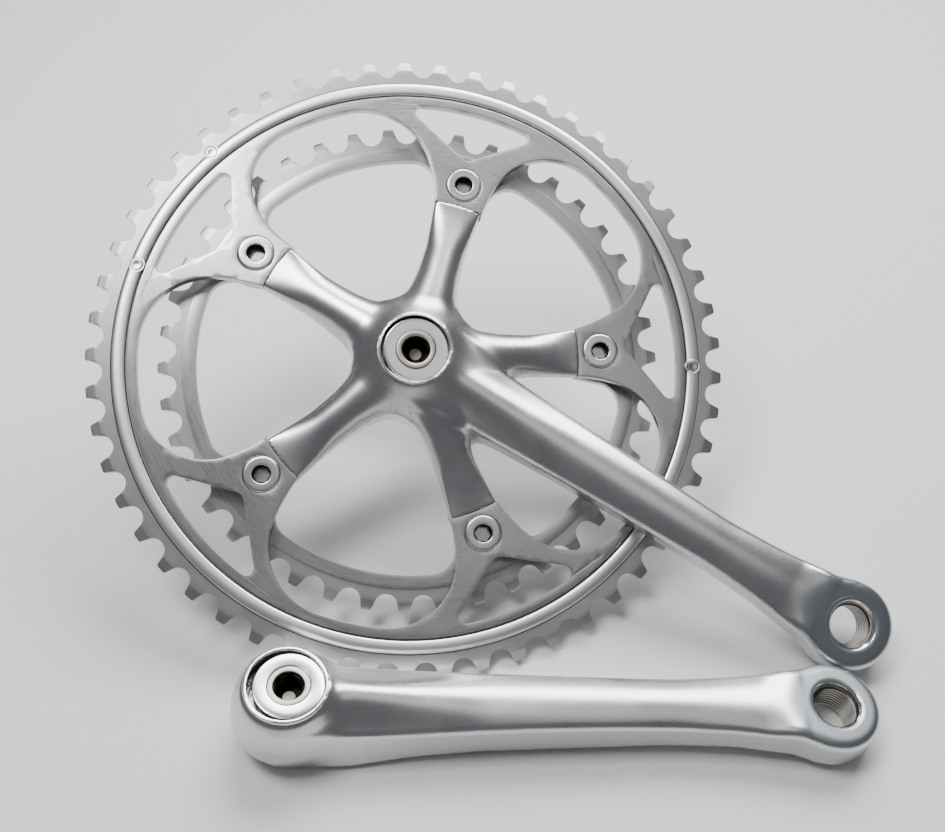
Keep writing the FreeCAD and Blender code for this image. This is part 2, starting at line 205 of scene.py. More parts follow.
def fieldSkin(field, low, high, step):
    # the zero surface of a distance field: one point per grid cell that the surface
    # crosses, at the mean of its crossings, then moved onto the surface along the field's
    # slope, and a quad across every grid edge whose ends lie on different sides
    axes = [np.arange(a, b + step, step) for a, b in zip(low, high)]
    x, y, z = np.meshgrid(*axes, indexing="ij", sparse=True)
    values = np.broadcast_to(field(x, y, z), [len(a) for a in axes]).astype(np.float32)
    inside = values < 0
    cells = tuple(n - 1 for n in values.shape)
    corners = [(i, j, k) for i in (0, 1) for j in (0, 1) for k in (0, 1)]
    count = sum(inside[i:i + cells[0], j:j + cells[1], k:k + cells[2]].astype(np.int8)
                for i, j, k in corners)
    active = (count > 0) & (count < 8)
    cell = np.argwhere(active)
    number = np.full(cells, -1)
    number[active] = np.arange(len(cell))
    total, crossings = np.zeros((len(cell), 3)), np.zeros(len(cell))
    for a in corners:
        for axis in range(3):
            if a[axis] == 0:
                b = tuple(a[k] + (k == axis) for k in range(3))
                first = values[tuple((cell + a).T)]
                second = values[tuple((cell + b).T)]
                cut = (first < 0) != (second < 0)
                share = np.where(cut, first / np.where(cut, first - second, 1), 0)
                spot = np.tile(np.array(a, float), (len(cell), 1))
                spot[:, axis] += share
                total += spot * cut[:, None]
                crossings += cut
    points = (cell + total / crossings[:, None]) * step + np.array(low)
    faces = []
    for axis in range(3):
        p, q = [k for k in range(3) if k != axis]
        first = np.moveaxis(inside, axis, 0)[:-1]
        second = np.moveaxis(inside, axis, 0)[1:]
        edge = np.argwhere(first != second)
        edge = edge[(edge[:, 1] > 0) & (edge[:, 2] > 0)]
        edge = edge[(edge[:, 1] < cells[p]) & (edge[:, 2] < cells[q])]
        table = np.moveaxis(number, axis, 0)
        i, j, k = edge.T
        quad = np.stack([table[i, j - 1, k - 1], table[i, j, k - 1], table[i, j, k],
                         table[i, j - 1, k]], -1)
        flip = first[i, j, k] == (axis == 1)
        quad[flip] = quad[flip][:, ::-1]
        faces.append(quad)
    faces = np.concatenate(faces)

    def slope(at):
        h = 0.05
        parts = []
        for k in range(3):
            shift = np.eye(3)[k] * h
            parts.append((field(*(at + shift).T) - field(*(at - shift).T)) / (2 * h))
        return np.stack(parts, -1)

    for _ in range(4):
        g = slope(points)
        move = field(*points.T)[:, None] * g / (np.sum(g * g, -1, keepdims=True) + 1e-6)
        points = points - np.clip(move, -0.35 * step, 0.35 * step)
    return points, faces


def makePiece(name, parts, place, body, finishes, nodes, sharp=30.0):
    # joins the shells, carries them from the crank's frame to the row frame in metres,
    # and gives the faces their finishes
    origin, axes = place
    starts = np.cumsum([0] + [len(p["points"]) for p in parts])
    points = origin + np.concatenate([p["points"] for p in parts]) * 0.001 @ axes
    faces = [f for p, start in zip(parts, starts) for f in (p["faces"] + start).tolist()]
    mesh = bpy.data.meshes.new(name)
    mesh.from_pydata(points.tolist(), [], faces)
    grain = mesh.attributes.new("grain", "FLOAT_VECTOR", "POINT")
    grain.data.foreach_set("vector", np.concatenate([p["grain"] for p in parts]).ravel())
    facingShade = mesh.attributes.new("facingShade", "FLOAT", "POINT")
    facingShade.data.foreach_set("value", np.concatenate([p["facingShade"] for p in parts]))
    across = mesh.attributes.new("across", "FLOAT_VECTOR", "POINT")
    lines = np.concatenate([p["across"] for p in parts]) @ axes
    across.data.foreach_set("vector", lines.ravel())
    for finish in finishes:
        mesh.materials.append(finish)
    mesh.polygons.foreach_set("material_index",
                              np.concatenate([p["marks"] for p in parts]).astype(np.int32))
    mesh.polygons.foreach_set("use_smooth", np.concatenate([~p["flat"] for p in parts]))
    mesh.set_sharp_from_angle(angle=math.radians(sharp))
    mesh.validate()
    mesh.update()
    piece = bpy.data.objects.new(name, mesh)
    bpy.context.scene.collection.objects.link(piece)
    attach(piece, body)
    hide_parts(*nodes)
    mesh.calc_loop_triangles()
    print("made", name, len(mesh.loop_triangles), "triangles")


def finishStart(name):
    material = bpy.data.materials.new(name)
    material.use_nodes = True
    nodes, links = material.node_tree.nodes, material.node_tree.links
    return material, nodes, links, nodes["Principled BSDF"]


def grainNoise(nodes, links, scale, detail, rough=0.5):
    # noise on the streak coordinates, which is long in one direction and fine across it
    source = nodes.new("ShaderNodeAttribute")
    source.attribute_name = "grain"
    noise = nodes.new("ShaderNodeTexNoise")
    noise.inputs["Scale"].default_value = scale
    noise.inputs["Detail"].default_value = detail
    noise.inputs["Roughness"].default_value = rough
    links.new(source.outputs["Vector"], noise.inputs["Vector"])
    return noise.outputs["Fac"]


def placeNoise(nodes, links, scale, detail):
    # noise on the object's own coordinates, in metres
    source = nodes.new("ShaderNodeTexCoord")
    noise = nodes.new("ShaderNodeTexNoise")
    noise.inputs["Scale"].default_value = scale
    noise.inputs["Detail"].default_value = detail
    links.new(source.outputs["Object"], noise.inputs["Vector"])
    return noise.outputs["Fac"]


def spread(nodes, links, source, low, high):
    # a value from 0.3 to 0.7 spread over low to high
    ramp = nodes.new("ShaderNodeMapRange")
    ramp.inputs["From Min"].default_value = 0.3
    ramp.inputs["From Max"].default_value = 0.7
    ramp.inputs["To Min"].default_value = low
    ramp.inputs["To Max"].default_value = high
    links.new(source, ramp.inputs["Value"])
    return ramp.outputs["Result"]


def facedShadeMix(nodes, links, kind, plain, facedShade):
    # a socket that goes over to the value for the eye's facing where the facing attribute is 1: the facing's
    # darker tone, partly its machined finish and partly painted shade
    source = nodes.new("ShaderNodeAttribute")
    source.attribute_name = "facingShade"
    mix = nodes.new("ShaderNodeMix")
    mix.data_type = kind
    links.new(source.outputs["Fac"], mix.inputs["Factor"])
    start, end = [i for i in mix.inputs if i.enabled and i.name in "AB"]
    links.new(plain, start)
    end.default_value = facedShade
    return next(o for o in mix.outputs if o.enabled)


def metalFinish(name, colour, rough, streak=0.0, streakScale=6.0, cloud=0.02, tone=0.04,
                metallic=1.0, stretch=0.0, facedShade=None):
    # metal whose roughness is a cloudy field plus fine streaks along the grain, with a
    # slight change of tone and a very shallow bump from the same streaks
    material, nodes, links, shader = finishStart(name)
    shader.inputs["Metallic"].default_value = metallic
    if stretch > 0:
        # highlights drawn out across the polishing lines
        line = nodes.new("ShaderNodeAttribute")
        line.attribute_name = "across"
        links.new(line.outputs["Vector"], shader.inputs["Tangent"])
        shader.inputs["Anisotropic"].default_value = stretch
    clouds = placeNoise(nodes, links, 60.0, 3.0)
    streaks = grainNoise(nodes, links, streakScale, 4.0, 0.6)
    roughness = nodes.new("ShaderNodeMath")
    roughness.operation = "ADD"
    links.new(spread(nodes, links, clouds, rough - cloud, rough + cloud),
              roughness.inputs[0])
    links.new(spread(nodes, links, streaks, -streak * 0.5, streak * 0.5),
              roughness.inputs[1])
    roughValue = roughness.outputs["Value"]
    # on the eye's facing the tone and roughness go over to darker, duller ones: partly the machined finish and
    # partly painted shade
    if facedShade:
        roughValue = facedShadeMix(nodes, links, "FLOAT", roughValue, facedShade[1])
    links.new(roughValue, shader.inputs["Roughness"])
    mix = nodes.new("ShaderNodeMix")
    mix.data_type = "RGBA"
    start, end = [i for i in mix.inputs if i.enabled and i.name in "AB"]
    start.default_value = (*[c * (1 - tone) for c in colour], 1)
    end.default_value = (*[min(1, c * (1 + tone)) for c in colour], 1)
    links.new(spread(nodes, links, streaks, 0.0, 1.0), mix.inputs["Factor"])
    result = next(o for o in mix.outputs if o.enabled)
    if facedShade:
        result = facedShadeMix(nodes, links, "RGBA", result, (*facedShade[0], 1))
    links.new(result, shader.inputs["Base Color"])
    if streak > 0:
        bump = nodes.new("ShaderNodeBump")
        bump.inputs["Strength"].default_value = min(1.0, streak * 3)
        bump.inputs["Distance"].default_value = 0.000008
        links.new(streaks, bump.inputs["Height"])
        links.new(bump.outputs["Normal"], shader.inputs["Normal"])
    return material


def plasticFinish(name, colour, rough):
    # moulded plastic with a fine even grain
    material, nodes, links, shader = finishStart(name)
    shader.inputs["Base Color"].default_value = (*colour, 1)
    grain = placeNoise(nodes, links, 900.0, 2.0)
    links.new(spread(nodes, links, grain, rough - 0.06, rough + 0.06),
              shader.inputs["Roughness"])
    return material


finish = {
    # the arm's eye facing turns darker blue-grey, partly its machined finish and partly painted shade
    "arm": metalFinish("satinArm", (0.60, 0.61, 0.62), 0.28, 0.04, 5.0, 0.03, 0.012,
                       stretch=0.2, facedShade=((0.36, 0.39, 0.42), 0.40)),
    # machined facing of the pedal eye, its darker blue-grey tone partly painted shade
    "facingShade": metalFinish("machinedFacingPaintedShade", (0.38, 0.41, 0.44), 0.40, 0.08, 8.0),
    "rim": metalFinish("polishedRim", (0.86, 0.86, 0.86), 0.16, 0.03, 8.0),
    "thread": metalFinish("cutThread", (0.72, 0.70, 0.66), 0.22, 0.05, 9.0),
    # thread roots and back flanks painted near black as shade
    "threadShade": metalFinish("paintedThreadShade", (0.10, 0.095, 0.09), 0.40, 0.05, 9.0),
    "web": metalFinish("brushedWeb", (0.47, 0.48, 0.48), 0.31, 0.12, 7.0, 0.02, 0.05,
                       stretch=0.45),
    "tooth": metalFinish("satinTooth", (0.45, 0.45, 0.44), 0.36, 0.10, 9.0, 0.03, 0.03,
                         stretch=0.4),
    "bead": metalFinish("polishedBead", (0.88, 0.88, 0.88), 0.34, 0.02, 9.0),
    # grooves painted dark as shade
    "grooveShade": metalFinish("paintedGrooveShade", (0.20, 0.20, 0.21), 0.45, 0.05, 9.0),
    "chrome": metalFinish("chromedCap", (0.86, 0.86, 0.87), 0.17, 0.05, 9.0),
    "ringBolt": metalFinish("satinChrome", (0.74, 0.74, 0.73), 0.26, 0.06, 9.0),
    "boltHead": metalFinish("dullPlating", (0.50, 0.45, 0.37), 0.42, 0.10, 9.0),
    # hexagon sockets painted near black as shade
    "socket": metalFinish("paintedSocketShade", (0.022, 0.02, 0.018), 0.55, 0.06, 9.0),
    "dimple": metalFinish("drilledDimple", (0.60, 0.58, 0.54), 0.5, 0.06, 9.0, 0.02, 0.04,
                          0.3),
    "pin": metalFinish("pinSteel", (0.52, 0.51, 0.49), 0.22, 0.06, 9.0),
    "slip": plasticFinish("slipRing", (0.03, 0.03, 0.03), 0.5),
}
print("finishes made")


crank = {"length": 170.0, "rimTop": 12.0, "eye": 14.9, "eyeTop": 22.8, "eyeBack": 9.5,
         "threadTop": 7.15, "threadRoot": 6.5, "chamfer": 8.1, "threadPitch": 1.27,
         "mouth": 8.7, "flange": 9.3, "seam": 57.05, "cell": 0.65, "taperHalf": 6.15,
         "taperAngle": 2.0}
leftArm = {"base": -13.5, "rimCentre": -0.8, "bore": 11.65, "rim": 12.95,
           "hubZ": [-13.5, -12, -10, -8, -6, -4, 0, 4, 8, 10, 11, 12],
           "hubRadius": [13.9, 15.2, 16.2, 16.8, 17.1, 17.1, 16.8, 16.1, 15.0, 14.0, 13.1, 12.0],
           "x": [0, 12, 20, 30, 40, 60, 80, 100, 120, 140, 155, 170],
           "half": [12.6, 12.2, 11.9, 11.5, 11.1, 10.2, 9.4, 8.9, 8.7, 9.7, 11.7, 12.9],
           "power": [1.0, 1.5, 2.1, 1.9, 1.5, 1.05, 1, 1, 1, 1, 1, 1],
           "flare": [0.5, 2.6, 2.5, 1.6, 0.7, 0, 0, 0, 0, 0, 0, 0],
           "back": [-13.3, -13.0, -12.4, -11.0, -9.2, -6.2, -3.6, -0.4, 3.4, 7.0, 8.7, 9.5],
           "edge": [3.6, 3.8, 4.4, 5.2, 6.2, 8.8, 11.5, 13.9, 16.0, 18.8, 20.6, 21.4],
           "crown": [11.2, 11.2, 11.3, 11.2, 11.3, 12.6, 14.7, 16.9, 19.1, 21.3, 22.6, 22.9]}
rightArm = dict(leftArm, base=-21.5, rimCentre=-0.35, bore=11.35, rim=12.2,
                hubZ=[-21.5, -19, -14, -8, 12], hubRadius=[15.0, 16.5, 17.5, 17.8, 17.8],
                back=[-11.5, -9.8, -8.0, -5.6, -3.6, -0.8, 1.6, 3.6, 5.2, 7.6, 8.9, 9.5],
                power=[1.0, 1.1, 1.4, 1.5, 1.4, 1.1, 1, 1, 1, 1, 1, 1],
                half=[12.6, 12.3, 12.0, 11.7, 11.3, 10.6, 9.9, 9.3, 8.8, 9.7, 11.7, 12.9])
spider = {"angles": [36, 108, 180, 252, 324], "u": [0, 12, 20, 30, 40, 50, 56.6, 64, 80],
          "half": [11.5, 10.2, 8.9, 7.5, 7.1, 7.75, 8.3, 8.9, 8.9],
          "top": [9.0, 8.4, 7.0, 4.9, 2.9, 1.1, 0.15, 0.0, 0.0],
          "side": [2.0, 1.0, -0.4, -2.2, -2.9, -1.4, -0.25, -0.2, -0.2],
          "skirtRadius": [0, 11.6, 13, 15, 17, 19, 22, 26, 32, 80],
          "skirtTop": [11.8, 11.8, 10.9, 9.2, 7.4, 5.6, 2.8, -1.0, -7.0, -40.0],
          "back": [14, 13.6, 12.6, 11.0, 9.2, 8.0, 7.4, 7.4, 7.4], "boltCircle": 65.0,
          "tip": 8.2}


def along(x, stations, values, soft=9.0):
    # values at stations, joined by straight runs and then smoothed over a short window
    fine = np.arange(stations[0] - 30, stations[-1] + 30, 0.5)
    window = np.hanning(int(4 * soft) | 1)
    padded = np.interp(fine, stations, values)
    smooth = np.convolve(np.pad(padded, len(window) // 2, mode="edge"),
                         window / window.sum(), mode="valid")
    return np.interp(x, fine, smooth)


def blendIn(a, b, k):
    # union of two fields with a fillet: the smaller one, less a quarter of k times the
    # square of how nearly they are equal
    h = np.maximum(k - np.abs(a - b), 0) / k
    return np.minimum(a, b) - h * h * k * 0.25


def keepBoth(a, b, k):
    # intersection of two fields with a rounded edge
    return -blendIn(-a, -b, k)


def armField(x, y, z, arm):
    # bar along X that widens into the round eye: sides at the half width, a flat back, and
    # a crowned top whose crown is narrow with hollow flanks beside the hub, full further
    # out, and flat on the eye
    half = along(x, arm["x"], arm["half"])
    back = along(x, arm["x"], arm["back"], 5.0)
    edge = along(x, arm["x"], arm["edge"], 5.0)
    crown = along(x, arm["x"], arm["crown"], 5.0)
    flare = along(x, arm["x"], arm["flare"], 5.0)
    wall = half + flare * np.clip((edge - z) / 14, 0, 1.2)
    power = along(x, arm["x"], arm["power"], 3.0)
    across = np.clip(1 - (y / (half + 0.4)) ** 2, 0, 1)
    top = edge + (crown - edge) * across ** power
    flat = np.clip((x - 146) / 14, 0, 1) ** 2
    flat = flat * (3 - 2 * flat)
    top = top + (crank["eyeTop"] - top) * flat
    eye = np.sqrt((x - crank["length"]) ** 2 + y * y) - crank["eye"]
    bar = np.maximum(np.abs(y) - wall, np.maximum(-x, x - crank["length"] + 6))
    body = keepBoth(blendIn(bar, eye, 3.0), (z - top) * 0.95, 1.9 + 1.5 * flat)
    return keepBoth(body, back - z, 2.0)


def hubField(x, y, z, arm):
    # boss that swells from the rim and closes in again at the back
    radius = np.sqrt((x - arm["rimCentre"]) ** 2 + y * y)
    wall = along(z, arm["hubZ"], arm["hubRadius"], 1.2)
    upright = np.maximum(z - crank["rimTop"] + 0.6, arm["base"] - z)
    return keepBoth((radius - wall) * 0.85, upright, 0.9)


def taperField(x, y, z):
    # square hole that narrows from the back of the hub to the bolt's seat
    half = crank["taperHalf"] + math.tan(math.radians(crank["taperAngle"])) * (0 - z)
    return np.maximum(np.maximum(np.abs(x), np.abs(y)) - half, z - 1)


def spiderField(x, y, z):
    # the five spider arms and the hub's skirt: their outlines joined by fillets, under a
    # top that is the softened maximum of the rounded arms and the slope up to the rim
    radius = np.sqrt(x * x + y * y)
    outline = radius - 18.6
    slope = along(radius, spider["skirtRadius"], spider["skirtTop"], 1.5)
    top, end = slope, radius - 30
    for angle in spider["angles"]:
        c, s = math.cos(math.radians(angle)), math.sin(math.radians(angle))
        u, v = x * c + y * s, -x * s + y * c
        half = along(u, spider["u"], spider["half"], 3.0)
        high = along(u, spider["u"], spider["top"], 4.0)
        side = along(u, spider["u"], spider["side"], 4.0)
        ratio = np.abs(v) / (half + 0.3)
        crowned = side + (high - side) * np.sqrt(np.clip(1 - ratio ** 2, 0.0, 1))
        crowned = crowned - np.maximum(ratio - 1, 0) * half * 1.2
        top = -blendIn(-top, -np.where(u > -4, crowned, -30), 3.0)
        outline = blendIn(outline, np.maximum(np.abs(v) - half, -u), 8.0)
        bolt = spider["boltCircle"]
        disc = np.sqrt((u - bolt) ** 2 + v * v) - spider["tip"]
        end = np.minimum(end, np.where(np.abs(v) < 12, np.minimum(u - bolt, disc), 40.0)
                         + np.where(u < 0, 60, 0))
    back = -along(radius, spider["u"], spider["back"], 5.0)
    body = keepBoth(outline, (z - top) * 0.8, 1.0)
    body = keepBoth(body, back - z, 2.0)
    return np.maximum(body, end)


def cutSpindleAndPedal(body, x, y, z, arm):
    # bolt chamber, seat of the bright lip, taper hole and pedal hole
    chamber = np.sqrt((x - arm["rimCentre"]) ** 2 + y * y)
    body = keepBoth(body, -np.maximum(chamber - arm["bore"] - 0.35, -z), 0.3)
    seat = np.maximum(chamber - arm["rim"] + 0.55, crank["rimTop"] - 1.5 - z)
    body = keepBoth(body, -seat, 0.3)
    body = keepBoth(body, -taperField(x, y, z), 0.3)
    pedal = np.sqrt((x - crank["length"]) ** 2 + y * y)
    return keepBoth(body, crank["mouth"] - pedal, 0.3)


def leftCrankField(x, y, z):
    body = blendIn(armField(x, y, z, leftArm), hubField(x, y, z, leftArm), 5.0)
    return cutSpindleAndPedal(body, x, y, z, leftArm)


def rightCrankField(x, y, z):
    radius = np.sqrt(x * x + y * y)
    arms = spiderField(x, y, z)
    step = np.maximum(crank["seam"] - radius, -3.5 - z)
    arms = keepBoth(arms, -step, 0.2)
    hub = np.maximum(hubField(x, y, z, rightArm), z + 3)
    body = blendIn(arms, hub, 2.0)
    body = blendIn(body, armField(x, y, z, rightArm), 5.0)
    return cutSpindleAndPedal(body, x, y, z, rightArm)


skinMark, rimMark, threadMark, facingShadeMark, shadeMark = range(5)
armFinishes = [finish["arm"], finish["rim"], finish["thread"], finish["facingShade"],
               finish["threadShade"]]


def rimRing(arm):
    # bright turned lip of the bolt chamber, with its wall down to the seat
    outer, inner, top = arm["rim"], arm["bore"], crank["rimTop"]
    profile = [(inner + 0.7, 0.02), (inner, 0.02), (inner, top - 0.35),
               (inner + 0.1, top - 0.08), (inner + 0.28, top), (outer - 0.5, top),
               (outer - 0.2, top - 0.08), (outer - 0.05, top - 0.25), (outer, top - 0.5),
               (outer, top - 2.2), (inner + 0.7, top - 2.6)]
    return turned(profile, (arm["rimCentre"], 0.0), 144, rimMark)


def pedalLiner():
    # threaded wall of the pedal hole: ridges one pitch apart, a bevel, and the facing
    high, low = crank["eyeTop"] + 0.06, crank["eyeBack"] - 0.06
    start, end = low + 1.0, high - 1.5
    turns = np.arange(start, end - crank["threadPitch"], crank["threadPitch"])
    # each turn: an upright crest, a flank that leans back, and the root
    steps = (turns[:, None] + crank["threadPitch"] * np.array([0.0, 0.38, 0.66])).ravel()
    ridge = np.tile([crank["threadRoot"], crank["threadRoot"], crank["threadTop"]],
                    len(turns))
    chamfer, flange = crank["chamfer"], crank["flange"]
    profile = [(flange, low), (7.6, low), (7.2, low + 0.6)]
    profile += list(zip(ridge, steps))
    profile += [(7.3, high - 1.0), (7.6, high - 0.65), (chamfer - 0.1, high - 0.2),
                (chamfer + 0.1, high), (flange, high), (flange + 0.2, high - 0.3),
                (flange + 0.2, low + 0.3)]
    # in each turn, the flank that leans back and the face under the crest are painted dark as shade
    marks = [threadMark] * 3 + [threadMark, shadeMark, shadeMark] * len(turns)
    marks[-1] = threadMark
    # the flange's facing takes the darker tone, partly machined finish and partly painted shade
    marks += [threadMark, rimMark, rimMark, facingShadeMark, facingShadeMark, skinMark, skinMark]
    return turned(profile, (crank["length"], 0.0), 120, marks)


def crankArm(name, field, low, high, place, body, arm):
    # skin of the field, with the facing mask rising to 1 on the top of the eye, where the arm goes over to the
    # facing's darker tone, partly machined finish and partly painted shade: a smooth step along the radius, times
    # a short ramp in height
    points, faces = fieldSkin(field, low, high, crank["cell"])
    skin = meshPart(points, faces, skinMark, straight=True)
    radius = np.hypot(points[:, 0] - crank["length"], points[:, 1])
    near = np.clip((17.5 - radius) / 4.5, 0, 1)
    level = np.clip((points[:, 2] - crank["eyeTop"] + 1.1) / 1.0, 0, 1)
    skin["facingShade"] = near * near * (3 - 2 * near) * level
    makePiece(name, [skin, rimRing(arm), pedalLiner()], place, body, armFinishes,
              [body + "_arm"], 50.0)


crankArm("left_arm_shape", leftCrankField, (-18, -18, -15), (187, 18, 25), leftFrame,
         "left_crank", leftArm)
crankArm("right_arm_shape", rightCrankField, (-75, -72, -23), (187, 72, 25), rightFrame,
         "right_crank", rightArm)


outerRing = {"teeth": 53, "firstGap": -0.4, "inner": 95.0, "outer": 109.0, "front": -0.5,
             "thick": 2.4, "plateEdge": 95.35, "web": (-3.5, 0.0), "backStep": -3.5,
             "bevelFrom": 105.6, "bevelDrop": 0.85}
innerRing = {"teeth": 42, "firstGap": 5.4, "inner": 78.5, "outer": 87.1, "front": -7.9,
             "thick": 2.4, "plateEdge": 79.0, "web": (-10.9, -7.4), "backStep": -10.3,
             "bevelFrom": 83.6, "bevelDrop": 0.8, "band": 74.4, "tabHalf": 9.6,
             "fillet": 8.5}
tooth = {"pitch": 12.7, "roller": 3.97, "flare": 17.0, "tipRound": 0.75, "columns": 24}
bead = {"centre": 98.25, "half": 2.15, "foot": -0.28, "rise": 0.72}
tab = {"leftCorner": (59.0, 34.9), "leftRadius": 23.8, "leftRun": 60.0, "leftTurn": -60.0,
       "rightCorner": (62.6, -32.3), "rightRun": 40.0, "rightTurn": 66.0}
window = {"apex": (73.55, 1.37), "rim": 92.5, "left": 17.5, "right": -13.4,
          "rimStart": 14.5, "rimEnd": -10.5, "apexRadius": 4.0, "cornerRadius": 2.5}
ringHole = 6.3
webMark, toothMark, beadMark, grooveShadeMark = range(4)
ringFinishes = [finish["web"], finish["tooth"], finish["bead"], finish["grooveShade"]]


def toothEdge(angles, ring):
    # distance from the axis to the tooth outline: in a gap, the far side of the roller
    # seat and its flared flanks, and elsewhere the tip circle
    pitchAngle = 2 * np.pi / ring["teeth"]
    pitchRadius = tooth["pitch"] / 2 / math.sin(pitchAngle / 2)
    flare = math.radians(tooth["flare"])
    turn = (angles - math.radians(ring["firstGap"]) + pitchAngle / 2) % pitchAngle
    turn = np.abs(turn - pitchAngle / 2)
    r = tooth["roller"]
    under = r * r - (pitchRadius * np.sin(turn)) ** 2
    seat = pitchRadius * np.cos(turn) - np.sqrt(np.maximum(under, 0))
    touchX, touchY = pitchRadius - r * math.sin(flare), r * math.cos(flare)
    # the flank is a straight line from the touching point, met by the ray at each angle
    bottom = np.sin(turn) * math.cos(flare) - np.cos(turn) * math.sin(flare)
    flank = (touchY * math.cos(flare) - touchX * math.sin(flare)) / np.minimum(bottom, -1e-6)
    touchTurn = math.atan2(touchY, touchX)
    edge = np.where(turn < touchTurn, seat, flank)
    edge = np.where((turn >= touchTurn) & (bottom >= -1e-4), ring["outer"], edge)
    tip = ring["outer"] - tooth["tipRound"] * (1 - turn / (pitchAngle / 2)) ** 2
    return np.minimum(edge, tip)


def toothedRim(ring, rows, rowMarks):
    # rows of (radius, front height) inside the teeth, then rows at set radii on the teeth
    # that stop at the tooth outline, the edge itself, and the same rows on the back
    count = ring["teeth"] * tooth["columns"]
    angles = np.linspace(0, 2 * np.pi, count, endpoint=False)
    edge = toothEdge(angles, ring)
    start, step = ring["bevelFrom"], (ring["outer"] - ring["bevelFrom"]) / 4
    levels = np.array([start - 3.4, start - 2.6, start - 1.4, start - 0.05, start + 0.05,
                       start + step, start + 2 * step, start + 3 * step])
    front, back = ring["front"], ring["front"] - ring["thick"]
    radii, heights, marks = [], [], []
    for radius, height in rows:
        radii.append(np.full(count, radius))
        heights.append(np.full(count, height))
    marks += rowMarks

    def bevelled(radius):
        return ring["bevelDrop"] * np.maximum(radius - start, 0) / (ring["outer"] - start)

    onTeeth = [np.minimum(level, edge - 0.16 - 0.03 * (len(levels) - k))
               for k, level in enumerate(levels)]
    onTeeth += [edge - 0.14, edge - 0.04, edge]
    inset = [0.0] * len(levels) + [0.0, 0.04, 0.14]
    for radius, down in zip(onTeeth, inset):
        radii.append(radius)
        heights.append(front - bevelled(radius) - down)
    for radius, down in zip(onTeeth[::-1], inset[::-1]):
        radii.append(radius)
        heights.append(back + bevelled(radius) + down)
    tail = [(ring["bevelFrom"] - 4.9, back), (ring["bevelFrom"] - 5.0, ring["backStep"]),
            (ring["inner"], ring["backStep"])]
    for radius, height in tail:
        radii.append(np.full(count, radius))
        heights.append(np.full(count, height))
    marks += [toothMark] * (len(radii) - len(marks))
    radii, heights = np.array(radii), np.array(heights)
    points = np.stack([radii * np.cos(angles), radii * np.sin(angles), heights], -1)
    faces = gridFaces(len(radii), count)
    return meshPart(points.reshape(-1, 3), faces, np.repeat(marks, count))


def arcPoints(centre, radius, start, end, spacing=1.0):
    # points along an arc, about a millimetre apart, without its last one
    count = max(2, int(abs(math.radians(end - start)) * radius / spacing))
    return np.array(centre) + polar(radius, np.linspace(start, end, count, endpoint=False))


def bearing(point):
    return math.degrees(math.atan2(point[1], point[0]))


def tabSide(corner, cornerRadius, runRadius, turnBearing, side):
    # edge of a tab: a long arc from the seam that runs without a kink into the corner arc
    corner = np.array(corner)
    turn = corner + polar(cornerRadius, turnBearing)
    centre = turn - polar(runRadius, turnBearing)
    reach = np.linalg.norm(centre)
    towards = centre / reach
    onLine = (crank["seam"] ** 2 - runRadius ** 2 + reach ** 2) / (2 * reach)
    off = math.sqrt(crank["seam"] ** 2 - onLine ** 2)
    start = towards * onLine - np.array([-towards[1], towards[0]]) * off * side
    run = arcPoints(centre, runRadius, bearing(start - centre), turnBearing)
    bend = arcPoints(corner, cornerRadius, turnBearing, bearing(corner))
    return np.concatenate([run, bend]), start, np.linalg.norm(corner) + cornerRadius


def starOpening():
    # hub space and five large openings of the outer ring, one sector at a time
    left, leftStart, rim = tabSide(tab["leftCorner"], tab["leftRadius"], tab["leftRun"],
                                   tab["leftTurn"], 1)
    rightRadius = rim - math.hypot(*tab["rightCorner"])
    right, rightStart, _ = tabSide(tab["rightCorner"], rightRadius, tab["rightRun"],
                                   tab["rightTurn"], -1)
    seam = arcPoints((0, 0), crank["seam"] + 0.12, bearing(rightStart), bearing(leftStart))
    outer = arcPoints((0, 0), rim, bearing(tab["leftCorner"]),
                      72 + bearing(tab["rightCorner"]), 1.5)
    sector = np.concatenate([right[::-1], seam, left, outer])
    return np.concatenate([turnFlat(sector, angle) for angle in spider["angles"]])


def roundedCorner(before, corner, after, radius):
    # arc that touches both sides of a corner
    a, b = unit(before - corner), unit(after - corner)
    half = math.acos(np.clip(a @ b, -1, 1)) / 2
    centre = corner + unit(a + b) * radius / math.sin(half)
    start, end = corner + a * radius / math.tan(half), corner + b * radius / math.tan(half)
    first, last = bearing(start - centre), bearing(end - centre)
    last = first + (last - first + 180) % 360 - 180
    return arcPoints(centre, radius, first, last, 0.5)


def tabWindow(angle):
    # three-cornered window with its outer side on a circle
    apex, rim, corner = np.array(window["apex"]), window["rim"], window["cornerRadius"]
    left, right = polar(rim, window["left"]), polar(rim, window["right"])
    nearLeft, nearRight = polar(rim, window["rimStart"] + 0.5), polar(rim, window["rimEnd"] - 0.5)
    loop = [roundedCorner(right, apex, left, window["apexRadius"]),
            roundedCorner(apex, left, nearLeft, corner),
            arcPoints((0, 0), rim, window["rimStart"], window["rimEnd"]),
            roundedCorner(nearRight, right, apex, corner)]
    return turnFlat(np.concatenate(loop), angle)


def circleLoop(radius, count):
    return polar(radius, np.linspace(0, 360, count, endpoint=False))


def roundHoles():
    # holes for the five ring bolts
    return [polar(spider["boltCircle"], angle) + circleLoop(ringHole, 64)
            for angle in spider["angles"]]


